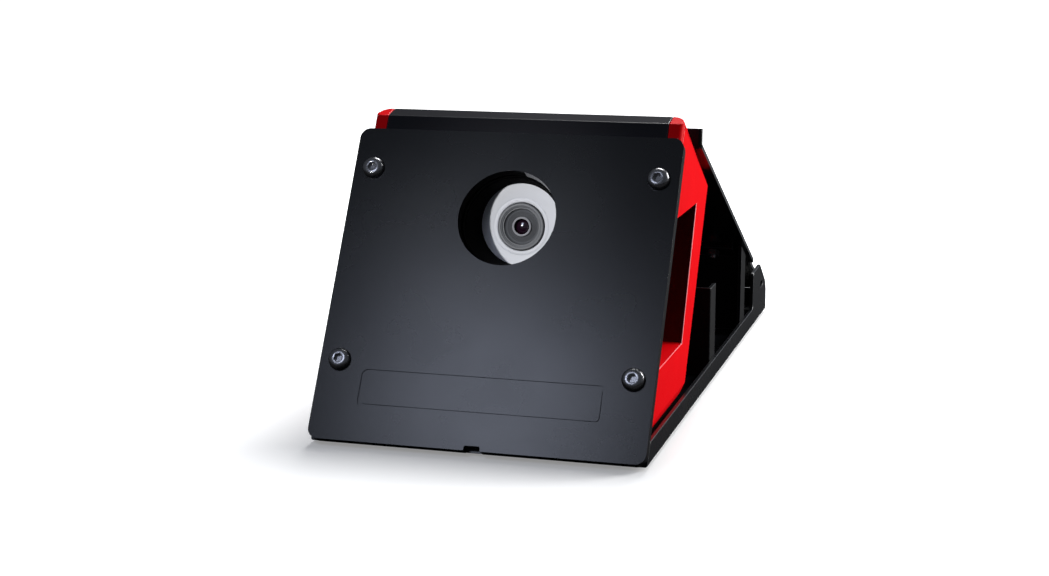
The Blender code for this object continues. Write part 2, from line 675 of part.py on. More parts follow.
def lens_parts(white, grey, black, glass, brass):
    turned("camera_faceplate", [(DISC_R, -0.0010), (DISC_R, -0.0035), (LENS_R + 0.0004, -0.0035),
                                (LENS_R + 0.0004, -0.0014), (LENS_R + 0.0010, -0.0010)],
           LENS, white, steps=40)
    turned("lens_front_ring",
           [(LENS_R - 0.0005, 0.0), (LENS_R, -0.0005), (LENS_R, -0.0090), (0.0058, -0.0090),
            (0.0051, -0.0030), (0.0056, -0.0027), (0.0062, -0.0034), (0.0112, -0.0022),
            (0.0116, -0.0012), (0.0122, -0.0012), (0.0126, -0.0004), (0.0132, 0.0)],
           LENS, grey, steps=40)
    turned("lens_front_glass", [(0.0, -0.0038), (0.0020, -0.0040), (0.0036, -0.0046), (0.0047, -0.0054),
                                (0.0047, -0.0086), (0.0, -0.0086)], LENS, glass, steps=24)
    turned("iris_ring", knurled_profile(0.0150, 0.01272, -0.0093, -0.0163), LENS, black, steps=28)
    turned("focus_ring", knurled_profile(0.0154, 0.01272, -0.0166, -0.0266), LENS, black, steps=28)
    turned("lens_barrel", [(0.0, -0.0093), (0.0126, -0.0093), (0.0126, -0.0269), (0.0142, -0.0269),
                           (0.0142, -0.0330), (0.0124, -0.0330), (0.0124, -0.0360), (0.0, -0.0360)],
           LENS, black, steps=28)
    turned("lens_lock_screw", [(0.0, 0.0210), (0.0014, 0.0210), (0.0016, 0.0207), (0.0016, 0.0157),
                               (0.0, 0.0157)], LENS, brass, steps=12,
           local=Matrix.Translation((0.0, 0.0, -0.0216)) @ Matrix.Rotation(-math.pi / 2, 4, "X"))


def knurled_profile(radius, bore, top, bottom):
    third = (top - bottom) / 4
    return [(radius - 0.0006, top), (radius - 0.0006, top - third), (radius, top - third - 0.0003),
            (radius, bottom + third + 0.0003), (radius - 0.0006, bottom + third),
            (radius - 0.0006, bottom), (bore, bottom), (bore, top)]


def camera_parts(black, board, steel):
    """Camera body: a finned open-backed box, its sensor board, and the shelf it stands on."""
    half = 0.020
    body = block("camera_body", (-half, -half, -0.0680), (half, half, -0.0333), LENS, black)
    room = block("camera_body_room", (-half + 0.003, -half + 0.003, -0.0800),
                 (half - 0.003, half - 0.003, -0.0363), LENS)
    bore = turned("camera_body_bore", [(0.0, -0.0300), (0.0127, -0.0300), (0.0127, -0.0400),
                                       (0.0, -0.0400)], LENS, steps=32)
    cut(body, room, bore)
    block("image_sensor_board", (-0.0165, -0.0165, -0.0460), (0.0165, 0.0165, -0.0444), LENS, board)
    shelf = block("camera_shelf", (-0.0745, -half - GAP - 0.002, -0.0700), (0.0745, -half - GAP, -0.0330),
                  LENS, steel)
    return shelf


# ---------------------------------------------------------------- inside of the unit
def chassis_sides(steel):
    for side, tag in ((-1, "left"), (1, "right")):
        span = sorted((side * 0.0748, side * 0.0768))
        outline = side_profile(0.024, 0.098, -TRAY_DROP + 2 * SHEET + 2 * GAP + 0.0002, 0.208)
        flat_solid("chassis_" + tag, [outline], span[0], span[1], GUARD, steel, local=SIDEWAYS)


def radar_parts(board, alloy):
    block("radar_antenna_board", (-0.060, 0.030, -0.0172), (0.060, 0.108, -0.0156), LEANING, board)
    spreader = block("radar_heat_spreader", (-0.056, 0.034, -0.0215), (0.056, 0.104, -0.0175),
                     LEANING, alloy)
    return spreader


def main_electronics(board, alloy, shrink):
    block("main_board", (-0.070, 0.066, -0.0999), (0.070, 0.140, -0.0983), LEANING, board)
    sink = block("heat_sink", (-0.066, 0.088, -0.0980), (-0.026, 0.128, -0.0860), LEANING, alloy)
    for i in range(6):
        x = -0.0625 + 0.0062 * i
        cut(sink, block("fin_gap_%d" % i, (x, 0.07, -0.0950), (x + 0.0034, 0.15, -0.07), LEANING))
    low = -TRAY_DROP + 2 * SHEET + 2 * GAP
    pack = block("battery_pack", (-0.060, 0.052, low + GAP), (0.060, 0.098, low + 0.028), GUARD, shrink)
    soften(pack, 0.004, 3)


def connectors(black, steel, light):
    """Button, sockets and status light on the rear cover."""
    back = -UNIT_REAR + 0.0003
    lean = Matrix.Translation
    flip = Matrix.Rotation(math.pi, 4, "X")
    x, v = BUTTON_SPOT
    turned("power_button", [(0.0, 0.0014), (0.0050, 0.0014), (0.0062, 0.0010), (0.0064, 0.0004),
                            (0.0064, -0.0034), (0.0078, -0.0034), (0.0078, -0.0046), (0.0, -0.0046)],
           LEANING, black, local=lean((x, v, back)) @ flip, steps=24)
    block("button_switch", (x - 0.0045, v - 0.0045, back + 0.0068), (x + 0.0045, v + 0.0045, back + 0.0120),
          LEANING, steel)
    x, v = LIGHT_SPOT
    turned("status_light", [(0.0, 0.0004), (0.0012, 0.0003), (0.0019, 0.0), (0.0019, -0.0090),
                            (0.0, -0.0090)], LEANING, light, local=lean((x, v, back)) @ flip, steps=16)
    x, v = POWER_SPOT
    turned("power_socket", [(0.0046, -0.0001), (0.0046, -0.0120), (0.0, -0.0120), (0.0, -0.0100),
                            (0.0028, -0.0100), (0.0028, -0.0001)],
           LEANING, steel, local=lean((x, v, back)) @ flip, steps=24)
    x, v = NETWORK_SPOT
    shell = block("network_socket", (x - 0.0079, v - 0.0067, back + 0.0001),
                  (x + 0.0079, v + 0.0067, back + 0.0118), LEANING, steel)
    room = block("network_socket_room", (x - 0.0060, v - 0.0045, back - 0.01),
                 (x + 0.0060, v + 0.0045, back + 0.0098), LEANING)
    cut(shell, room)


# ---------------------------------------------------------------- build
def build():
    satin = material("satin_black_coating", SATIN_BLACK, 0.42, 0.3)
    plastic = material("soft_black_plastic", SOFT_BLACK, 0.55)
    red = material("red_shell", SHELL_RED, 0.32)
    screw_black = material("black_screw_steel", (0.03, 0.03, 0.032), 0.25, 0.9)
    steel = material("plated_steel", (0.45, 0.45, 0.46), 0.35, 1.0)
    rubber = material("black_rubber", (0.02, 0.02, 0.02), 0.85)
    white = material("white_faceplate", (0.62, 0.63, 0.66), 0.45)
    grey = material("grey_lens_metal", (0.16, 0.165, 0.17), 0.38, 0.7)
    glass = material("dark_lens_glass", (0.02, 0.005, 0.01), 0.05)
    brass = material("brass_screw", (0.55, 0.42, 0.2), 0.3, 1.0)
    board = material("circuit_board", (0.01, 0.10, 0.05), 0.5)
    alloy = material("aluminium", (0.55, 0.56, 0.58), 0.4, 1.0)
    shrink = material("battery_wrap", (0.03, 0.07, 0.25), 0.4)
    light = material("clear_light_pipe", (0.7, 0.8, 0.75), 0.15)

    front_plate(satin)
    guard_screws(screw_black, steel)
    base_tray(satin)
    rear_panel(satin)
    panel_fasteners(screw_black, steel)
    bay_ribs(satin)
    rubber_feet(rubber)

    side_cover(-1, "side_cover_left", red)
    side_cover(1, "side_cover_right", red)
    top_cap(plastic)
    front_fascia(plastic)
    rear_cover(plastic)
    unit_base(plastic)

    camera_shroud(plastic)
    lens_parts(white, grey, plastic, glass, brass)
    camera_parts(plastic, board, steel)
    chassis_sides(steel)
    radar_parts(board, alloy)
    main_electronics(board, alloy, shrink)
    connectors(plastic, steel, light)


build()
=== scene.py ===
"""Looks of the launch monitor: finished meshes, materials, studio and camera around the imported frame."""
import json
import math

import bmesh
import bpy
from mathutils import Matrix, Vector


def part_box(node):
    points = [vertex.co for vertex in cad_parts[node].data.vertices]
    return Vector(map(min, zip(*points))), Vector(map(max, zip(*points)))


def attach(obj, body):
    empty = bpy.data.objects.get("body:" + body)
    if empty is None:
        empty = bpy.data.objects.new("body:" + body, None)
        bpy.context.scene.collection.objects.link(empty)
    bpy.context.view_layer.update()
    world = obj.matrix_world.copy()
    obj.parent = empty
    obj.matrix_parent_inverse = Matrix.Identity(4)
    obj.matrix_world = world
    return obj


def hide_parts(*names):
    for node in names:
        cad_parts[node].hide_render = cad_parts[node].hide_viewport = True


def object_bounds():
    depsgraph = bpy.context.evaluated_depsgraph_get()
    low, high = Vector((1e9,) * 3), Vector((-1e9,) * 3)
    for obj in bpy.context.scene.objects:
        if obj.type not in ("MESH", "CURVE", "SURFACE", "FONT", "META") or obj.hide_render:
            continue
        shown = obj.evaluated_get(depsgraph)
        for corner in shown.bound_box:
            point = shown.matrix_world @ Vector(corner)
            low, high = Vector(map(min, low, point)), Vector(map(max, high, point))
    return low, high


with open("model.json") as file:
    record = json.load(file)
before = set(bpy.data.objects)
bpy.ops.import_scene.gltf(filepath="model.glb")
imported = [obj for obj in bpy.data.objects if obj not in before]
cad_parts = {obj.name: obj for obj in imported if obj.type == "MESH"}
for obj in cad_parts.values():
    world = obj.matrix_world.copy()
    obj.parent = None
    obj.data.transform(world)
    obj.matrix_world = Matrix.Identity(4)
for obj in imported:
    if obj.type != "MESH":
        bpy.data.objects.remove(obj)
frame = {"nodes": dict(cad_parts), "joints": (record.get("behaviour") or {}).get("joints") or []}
cad_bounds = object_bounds()

NODES = frame["nodes"]
BODY = "guard_and_unit"

# ---------------------------------------------------------------- places read from the frame
JOINTS = {joint["name"]: joint for joint in frame["joints"]}
PLATE_NORMAL = Vector(JOINTS["power_button_press"]["axis"]).normalized()
PLATE_FRONT_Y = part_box("front_guard_plate")[0].y
PLATE_NODE = NODES["front_guard_plate"]
PLATE_REACH = max((PLATE_NODE.matrix_world @ vertex.co).dot(PLATE_NORMAL) for vertex in PLATE_NODE.data.vertices)
PLATE_FOOT = Vector((0.0, PLATE_FRONT_Y, (PLATE_REACH - PLATE_NORMAL.y * PLATE_FRONT_Y) / PLATE_NORMAL.z))
UP_THE_PLATE = Vector((1, 0, 0)).cross(PLATE_NORMAL).normalized() * -1
LENS_POINT = Vector(JOINTS["focus_ring_turn"]["pos_m"])
LENS_AXIS = Vector(JOINTS["focus_ring_turn"]["axis"]).normalized()


def frame_at(origin, z_axis):
    """Matrix with local Z along z_axis and local X along the world's X."""
    z = z_axis.normalized()
    x = Vector((1, 0, 0))
    y = z.cross(x).normalized()
    return Matrix.Translation(origin) @ Matrix((x, y, z)).transposed().to_4x4()


PLATE = frame_at(PLATE_FOOT, PLATE_NORMAL)
LENS = frame_at(LENS_POINT, LENS_AXIS)


# ---------------------------------------------------------------- material building
class Nodes:
    """Short way to build a material's node tree around its Principled shader."""

    def __init__(self, name, colour, roughness, metallic=0.0):
        self.material = bpy.data.materials.new(name)
        self.material.use_nodes = True
        self.tree = self.material.node_tree
        self.shader = self.tree.nodes["Principled BSDF"]
        self.shader.inputs["Base Color"].default_value = (*colour, 1.0)
        self.shader.inputs["Roughness"].default_value = roughness
        self.shader.inputs["Metallic"].default_value = metallic
        self.colour = colour
        self.place = self.tree.nodes.new("ShaderNodeTexCoord").outputs["Object"]

    def noise(self, scale, detail=3.0, stretch=None):
        node = self.tree.nodes.new("ShaderNodeTexNoise")
        node.inputs["Scale"].default_value = scale
        node.inputs["Detail"].default_value = detail
        where = self.place
        if stretch:
            mapping = self.tree.nodes.new("ShaderNodeMapping")
            mapping.inputs["Scale"].default_value = stretch
            self.tree.links.new(self.place, mapping.inputs["Vector"])
            where = mapping.outputs["Vector"]
        self.tree.links.new(where, node.inputs["Vector"])
        return node.outputs["Fac"]

    def ramp(self, factor, low, high, dark=0.0, light=1.0):
        """Spreads the factor's low..high over dark..light."""
        node = self.tree.nodes.new("ShaderNodeMapRange")
        node.inputs["From Min"].default_value = low
        node.inputs["From Max"].default_value = high
        node.inputs["To Min"].default_value = dark
        node.inputs["To Max"].default_value = light
        self.tree.links.new(factor, node.inputs["Value"])
        return node.outputs["Result"]

    def vary_colour(self, factor, other):
        """Base colour runs from its own colour to another one."""
        mix = self.tree.nodes.new("ShaderNodeMix")
        mix.data_type = "RGBA"
        mix.inputs["A"].default_value = (*self.colour, 1.0)
        mix.inputs["B"].default_value = (*other, 1.0)
        self.tree.links.new(factor, mix.inputs["Factor"])
        self.tree.links.new(mix.outputs["Result"], self.shader.inputs["Base Color"])

    def vary_roughness(self, value):
        self.tree.links.new(value, self.shader.inputs["Roughness"])

    def bump(self, height, distance, strength):
        node = self.tree.nodes.new("ShaderNodeBump")
        node.inputs["Strength"].default_value = strength
        node.inputs["Distance"].default_value = distance
        self.tree.links.new(height, node.inputs["Height"])
        self.tree.links.new(node.outputs["Normal"], self.shader.inputs["Normal"])

    def set(self, **values):
        for name, value in values.items():
            self.shader.inputs[name.replace("_", " ")].default_value = value


def coated_steel(name, colour, roughness, worn, shine=0.5):
    """Fine-grained coating with small worn flecks and slightly uneven gloss."""
    made = Nodes(name, colour, roughness)
    grain = made.noise(2600.0, 4.0)
    cloud = made.noise(22.0, 5.0)
    fleck = made.noise(900.0, 2.0)
    made.vary_colour(made.ramp(fleck, 0.62, 0.80, 0.0, 0.35), worn)
    made.vary_roughness(made.ramp(cloud, 0.3, 0.7, roughness - 0.012, roughness + 0.012))
    made.bump(grain, 0.00003, 0.20)
    made.set(Specular_IOR_Level=shine)
    return made.material


def plastic(name, colour, roughness, grain_scale=3000.0, depth=0.00003, other=None, shine=0.5):
    """Moulded surface with a fine grain and a slow drift toward another colour."""
    made = Nodes(name, colour, roughness)
    grain = made.noise(grain_scale, 3.0)
    cloud = made.noise(30.0, 4.0)
    made.vary_colour(made.ramp(cloud, 0.35, 0.7, 0.0, 0.5), other or tuple(c * 0.8 for c in colour))
    made.vary_roughness(made.ramp(grain, 0.3, 0.7, roughness - 0.04, roughness + 0.07))
    made.bump(grain, depth, 0.35)
    made.set(Specular_IOR_Level=shine)
    return made.material


def metal(name, colour, roughness, brushed=None, other=None):
    """Bare metal with fine lines, which run one way where brushed stretches them."""
    made = Nodes(name, colour, roughness, 1.0)
    lines = made.noise(1400.0, 3.0, brushed)
    cloud = made.noise(120.0, 4.0)
    made.vary_colour(made.ramp(cloud, 0.35, 0.7, 0.0, 0.6), other or tuple(c * 0.6 for c in colour))
    made.vary_roughness(made.ramp(lines, 0.3, 0.7, roughness - 0.05, roughness + 0.08))
    made.bump(lines, 0.00002, 0.3)
    return made.material


def circuit_board(name):
    """Green board with a brick pattern that stands for its tracks."""
    made = Nodes(name, (0.01, 0.10, 0.05), 0.45)
    tracks = made.tree.nodes.new("ShaderNodeTexBrick")
    tracks.inputs["Scale"].default_value = 180.0
    tracks.inputs["Mortar Size"].default_value = 0.05
    made.tree.links.new(made.place, tracks.inputs["Vector"])
    made.vary_colour(tracks.outputs["Fac"], (0.05, 0.22, 0.10))
    made.bump(tracks.outputs["Fac"], 0.00003, 0.4)
    return made.material


def lens_glass(name):
    """Coated front element: near black, with a faint violet coating reflection painted into its colour toward its
    rim.
    """
    made = Nodes(name, (0.012, 0.004, 0.010), 0.04)
    facing = made.tree.nodes.new("ShaderNodeLayerWeight").outputs["Facing"]
    # violet painted reflection where the glass turns away from the view
    made.vary_colour(made.ramp(facing, 0.35, 0.9, 0.0, 0.5), (0.08, 0.012, 0.03))
    made.bump(made.noise(60.0, 2.0), 0.00001, 0.1)
    made.set(Coat_Weight=1.0, Coat_Roughness=0.02, Specular_IOR_Level=0.8)
    return made.material


MATERIAL = {
    "satin": coated_steel("satin_black_coating", (0.0050, 0.0058, 0.0075), 0.27, (0.02, 0.022, 0.026)),
    # edge coatings are lighter than their faces: partly wear, partly painted highlight
    "satin_edge": coated_steel("worn_and_highlit_coating_edge", (0.045, 0.047, 0.052), 0.30, (0.13, 0.13, 0.14), 0.6),
    "panel": coated_steel("smooth_black_coating", (0.0045, 0.0048, 0.0056), 0.24, (0.02, 0.02, 0.022)),
    "rib": coated_steel("dull_black_coating", (0.0040, 0.0044, 0.0052), 0.50, (0.015, 0.016, 0.018), 0.12),
    "plastic": plastic("soft_black_plastic", (0.0050, 0.0050, 0.0056), 0.50, shine=0.25),
    "cap": plastic("dull_black_cap", (0.024, 0.024, 0.028), 0.55, shine=0.01),
    "plastic_edge": plastic("rubbed_and_highlit_black_plastic", (0.030, 0.030, 0.034), 0.35),
    # deep black is the shroud's and fascia's own colour; on the plate's window wall it is painted shade
    "well": plastic("deep_black_plastic_and_painted_shade", (0.0015, 0.0015, 0.0018), 0.80, shine=0.02),
    "red": plastic("red_shell", (0.84, 0.003, 0.007), 0.42, 2200.0, 0.00004, (0.76, 0.002, 0.006), 0.015),
    # lighter red on every bevel of the side covers: painted highlight
    "red_edge": plastic("red_shell_edge_highlight", (0.92, 0.006, 0.014), 0.32, 1500.0, 0.00006, (0.85, 0.003, 0.008), 0.12),
    "pocket_rim_highlight": plastic("painted_highlight_pocket_rim", (0.95, 0.42, 0.46), 0.30, 900.0, 0.00008, (0.92, 0.05, 0.07), 0.3),
    "pocket": plastic("pocket_shade", (0.062, 0.0004, 0.0008), 0.60, 2200.0, 0.00004, shine=0.15),
    "screw": metal("black_screw_steel", (0.36, 0.36, 0.375), 0.27, None, (0.24, 0.24, 0.25)),
    "screw_edge": metal("polished_screw_edge", (0.92, 0.92, 0.94), 0.30),
    "steel": metal("plated_steel", (0.50, 0.50, 0.51), 0.34, (1, 1, 30)),
    "rubber": plastic("black_rubber", (0.018, 0.018, 0.018), 0.82, 1600.0, 0.00010),
    "white": plastic("white_faceplate", (0.64, 0.65, 0.685), 0.50, 2600.0, 0.00002, (0.60, 0.615, 0.65)),
    "lens_metal": plastic("grey_lens_metal", (0.125, 0.13, 0.14), 0.45, 2600.0, 0.00006,
                          (0.085, 0.09, 0.098), 0.3),
    "lens_shade": plastic("dark_lens_metal", (0.100, 0.103, 0.110), 0.50, 2600.0, 0.00006,
                          (0.062, 0.064, 0.070), 0.2),
    "lens_rim": plastic("light_lens_rim", (0.34, 0.34, 0.36), 0.35, 2600.0, 0.00002, (0.22, 0.22, 0.24)),
    "glass": lens_glass("dark_lens_glass"),
    "brass": metal("brass_screw", (0.55, 0.42, 0.20), 0.28),
    "board": circuit_board("circuit_board"),
    "alloy": metal("aluminium", (0.60, 0.61, 0.63), 0.36, (1, 30, 1)),
    "wrap": plastic("battery_wrap", (0.03, 0.07, 0.25), 0.38, 700.0),
    "light": plastic("clear_light_pipe", (0.55, 0.70, 0.62), 0.12),
}


# ---------------------------------------------------------------- mesh building
def add_object(name, mesh):
    made = bpy.data.objects.new(name, mesh)
    bpy.context.scene.collection.objects.link(made)
    return made


def smooth(mesh, angle=35.0):
    for face in mesh.polygons:
        face.use_smooth = True
    mesh.set_sharp_from_angle(angle=math.radians(angle))


def welded_copy(node, name):
    """Mesh copy of a CAD node with joined corners and merged flat faces."""
    work = bmesh.new()
    work.from_mesh(NODES[node].data)
    bmesh.ops.remove_doubles(work, verts=work.verts, dist=2e-6)
    bmesh.ops.dissolve_limit(work, angle_limit=math.radians(0.4), verts=work.verts, edges=work.edges)
    mesh = bpy.data.meshes.new(name)
    work.to_mesh(mesh)
    work.free()
    mesh.materials.clear()
    return add_object(name, mesh)


def applied(obj, angle=35.0):
    """Bakes the object's modifiers into its mesh, with flat faces that stay flat beside rounded edges."""
    step = obj.modifiers.new("normals", "WEIGHTED_NORMAL")
    step.weight = 100
    step.keep_sharp = True
    smooth(obj.data, angle)
    graph = bpy.context.evaluated_depsgraph_get()
    mesh = bpy.data.meshes.new_from_object(obj.evaluated_get(graph))
    obj.modifiers.clear()
    old = obj.data
    obj.data = mesh
    bpy.data.meshes.remove(old)


def bevelled(obj, width, segments=2, angle=32.0, edge_slot=None, clamped=True):
    """Rounds the sharp edges; unclamped, short edges nearby don't shrink the rounding."""
    step = obj.modifiers.new("edges", "BEVEL")
    step.width = width
    step.segments = segments
    step.limit_method = "ANGLE"
    step.angle_limit = math.radians(angle)
    step.use_clamp_overlap = clamped
    if edge_slot is not None:
        step.material = edge_slot


def finish_piece(obj, main, body=BODY, replaces=(), edge=None):
    """Gives the piece its materials, its body and the CAD nodes it stands for."""
    for key in [main] + ([edge] if edge else []):
        if MATERIAL[key].name not in obj.data.materials:
            obj.data.materials.append(MATERIAL[key])
    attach(obj, body)
    if replaces:
        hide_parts(*replaces)


EDGE = 1                    # place of the lighter edge material on every finished piece: some wear, and a painted highlight on the coated, plastic and red pieces
EXTRA = 2                   # place of a piece's third material
RIM_HIGHLIGHT = 3                     # place of the pocket rim's painted highlight material
SMOOTH_ANGLE = 28.0
CLAMPED_BELOW = 0.00025     # narrower bevels are on parts too small to go unclamped


def refined(node, main, edge, width, segments=2, angle=32.0):
    """The CAD node's own shape with rounded edges in a lighter edge material: slight rubbing, with a painted
    highlight on coated and plastic pieces.
    """
    piece = welded_copy(node, node + "_finished")
    piece.data.materials.append(MATERIAL[main])
    piece.data.materials.append(MATERIAL[edge])
    bevelled(piece, width, segments, angle, EDGE, clamped=width < CLAMPED_BELOW)
    applied(piece, SMOOTH_ANGLE)
    finish_piece(piece, main, BODY, [node], edge)


POCKET_FLOOR = (0.018, 0.021)       # how far inside the skin the pocket's floor lies
POCKET_FRONT = 0.0300               # no pocket wall lies nearer to the plate's face than this
POCKET_LIP = 0.004                  # the pocket's rear wall starts this far inside the skin
FACING = 0.9
OBLIQUE = 0.2


def depth_behind_plate(face):
    return PLATE_REACH - face.center.dot(PLATE_NORMAL)


def side_cover(node):
    """Red cover whose rounded edges are painted lighter as a highlight; its grip pocket's deep walls are painted
    dark as shade and its rear rim is a painted highlight.
    """
    piece = welded_copy(node, node + "_finished")
    for key in ("red", "red_edge", "pocket"):
        piece.data.materials.append(MATERIAL[key])
    low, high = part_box(node)
    skin = max(abs(low.x), abs(high.x))
    for face in piece.data.polygons:
        inward = skin - abs(face.center.x)
        floor_wall = POCKET_FLOOR[0] < inward < POCKET_FLOOR[1] and face.normal.x * face.center.x > 0
        rear_wall = face.normal.dot(PLATE_NORMAL) > FACING and depth_behind_plate(face) > POCKET_FRONT
        # the pocket's floor and rear wall take the dark pocket_shade red: painted shade
        if floor_wall or (rear_wall and POCKET_LIP < inward < POCKET_FLOOR[0]):
            face.material_index = EXTRA
    bevelled(piece, 0.00050, edge_slot=EDGE, clamped=False)
    applied(piece, SMOOTH_ANGLE)
    piece.data.materials.append(MATERIAL["pocket_rim_highlight"])
    # bevels along the pocket's rear edge take a pale pink: painted highlight
    for face in piece.data.polygons:
        corner = face.normal.dot(PLATE_NORMAL) > OBLIQUE and abs(face.normal.x) > OBLIQUE
        if face.material_index == EDGE and corner and depth_behind_plate(face) > POCKET_FRONT:
            face.material_index = RIM_HIGHLIGHT
    finish_piece(piece, "red", BODY, [node], "red_edge")


def cut_by(obj, tool):
    step = obj.modifiers.new("cut", "BOOLEAN")
    step.operation = "DIFFERENCE"
    step.object = tool
    step.solver = "EXACT"


def arc(cx, cy, radius, start, end, steps):
    return [(cx + radius * math.cos(start + (end - start) * i / steps),
             cy + radius * math.sin(start + (end - start) * i / steps)) for i in range(steps + 1)]


def rounded_box(x0, y0, x1, y1, radius, steps=6):
    quarter = math.pi / 2
    return (arc(x1 - radius, y1 - radius, radius, 0, quarter, steps)
            + arc(x0 + radius, y1 - radius, radius, quarter, 2 * quarter, steps)
            + arc(x0 + radius, y0 + radius, radius, 2 * quarter, 3 * quarter, steps)
            + arc(x1 - radius, y0 + radius, radius, 3 * quarter, 4 * quarter, steps))


def prism(name, outline, low, high, matrix):
    work = bmesh.new()
    bottom = [work.verts.new((x, y, low)) for x, y in outline]
    top = [work.verts.new((x, y, high)) for x, y in outline]
    work.faces.new(bottom[::-1])
    work.faces.new(top)
    for i in range(len(outline)):
        j = (i + 1) % len(outline)
        work.faces.new((bottom[i], bottom[j], top[j], top[i]))
    bmesh.ops.recalc_face_normals(work, faces=work.faces)
    mesh = bpy.data.meshes.new(name)
    work.to_mesh(mesh)
    work.free()
    mesh.transform(matrix)
    return add_object(name, mesh)


def lathe(name, profile, matrix, steps=96, angle=30.0):
    """Turned shape about local Z through (radius, height) points; open ends at the axis are closed."""
    work = bmesh.new()
    rings = []
    for radius, height in profile:
        if radius <= 1e-6:
            rings.append([work.verts.new((0, 0, height))])
        else:
            rings.append([work.verts.new((radius * math.cos(2 * math.pi * i / steps),
                                          radius * math.sin(2 * math.pi * i / steps), height))
                          for i in range(steps)])
    closed = profile[0][0] > 1e-6
    pairs = list(zip(rings, rings[1:]))
    if closed:
        pairs.append((rings[-1], rings[0]))
    for first, second in pairs:
        for i in range(steps):
            j = (i + 1) % steps
            corners = [first[i % len(first)], first[j % len(first)],
                       second[j % len(second)], second[i % len(second)]]
            unique = []
            for corner in corners:
                if corner not in unique:
                    unique.append(corner)
            if len(unique) > 2:
                work.faces.new(unique)
    bmesh.ops.recalc_face_normals(work, faces=work.faces)
    mesh = bpy.data.meshes.new(name)
    work.to_mesh(mesh)
    work.free()
    mesh.transform(matrix)
    made = add_object(name, mesh)
    smooth(made.data, angle)
    return made


# ---------------------------------------------------------------- guard
ENGRAVING_X = 0.0765
ENGRAVING_V = (0.0215, 0.0455)
ENGRAVING_DEPTH = 0.0007
ENGRAVING_LINE = 0.0022
WINDOW_V = 0.148            # the window's centre, up the plate from its foot
WALL_REACH = 0.034          # the window's wall lies nearer to its centre than this
LIT_FROM_X = 0.008          # right of this the photo shows the window's wall lit
SIDEWALL = 0.3
SIDE_HIGHLIGHT_FROM_X = 0.09


def front_plate():
    """Thick plate with a plain engraved outline low on its face; most of its window's wall is painted near-black
    as shade, and bevels along its side edges carry a painted highlight.
    """
    plate = welded_copy("front_guard_plate", "front_guard_plate_finished")
    plate.data.materials.append(MATERIAL["satin"])
    plate.data.materials.append(MATERIAL["satin_edge"])
    plate.data.materials.append(MATERIAL["well"])
    to_plate = PLATE.inverted()
    for face in plate.data.polygons:
        spot = to_plate @ face.center
        wall = abs(face.normal.dot(PLATE_NORMAL)) < SIDEWALL
        # faces of the window's wall left of LIT_FROM_X take the near-black well material: painted shade
        if wall and math.hypot(spot.x, spot.y - WINDOW_V) < WALL_REACH and spot.x < LIT_FROM_X:
            face.material_index = EXTRA
    low, high = ENGRAVING_V
    outer = rounded_box(-ENGRAVING_X, low, ENGRAVING_X, high, 0.004)
    line = ENGRAVING_LINE
    inner = rounded_box(-ENGRAVING_X + line, low + line, ENGRAVING_X - line, high - line, line)
    groove = prism("engraving_outer", outer, -ENGRAVING_DEPTH, 0.004, PLATE)
    island = prism("engraving_inner", inner, -0.002, 0.006, PLATE)
    cut_by(groove, island)
    cut_by(plate, groove)
    bevelled(plate, 0.00030, 2, 40.0)
    applied(plate, 30.0)
    # bevels along the plate's left and right edges take the lighter edge coating: painted highlight
    for face in plate.data.polygons:
        corner = face.normal.dot(PLATE_NORMAL) > OBLIQUE and abs(face.normal.x) > OBLIQUE
        if corner and abs(face.center.x) > SIDE_HIGHLIGHT_FROM_X:
            face.material_index = EDGE
    bpy.data.objects.remove(groove)
    bpy.data.objects.remove(island)
    finish_piece(plate, "satin", replaces=["front_guard_plate"], edge="satin_edge")


def rear_panel():
    """Sloping panel; its upright lip is dull in front and its cut sides take the lighter edge coating, a little
    rubbing plus painted light.
    """
    piece = welded_copy("rear_guard_panel", "rear_guard_panel_finished")
    for key in ("panel", "satin_edge", "rib"):
        piece.data.materials.append(MATERIAL[key])
    for face in piece.data.polygons:
        if face.normal.y < -FACING:
            face.material_index = EXTRA
        # the cut sides take the lighter edge coating: wear plus painted light on the sides
        elif abs(face.normal.x) > FACING:
            face.material_index = EDGE
    bevelled(piece, 0.00030, edge_slot=EDGE)
    applied(piece, SMOOTH_ANGLE)
    finish_piece(piece, "panel", BODY, ["rear_guard_panel"], "satin_edge")


HEAD_HEIGHT = 0.0043
HEX_ACROSS_FLATS = 0.005
SHANK_R = 0.0039
SHANK_LENGTH = 0.0215
HEAD_BRIM = 0.16            # share of the head's height below its dome
HEAD_CHAMFER = 0.0003
TIP_CHAMFER = 0.0008
DOME_STEPS = 12


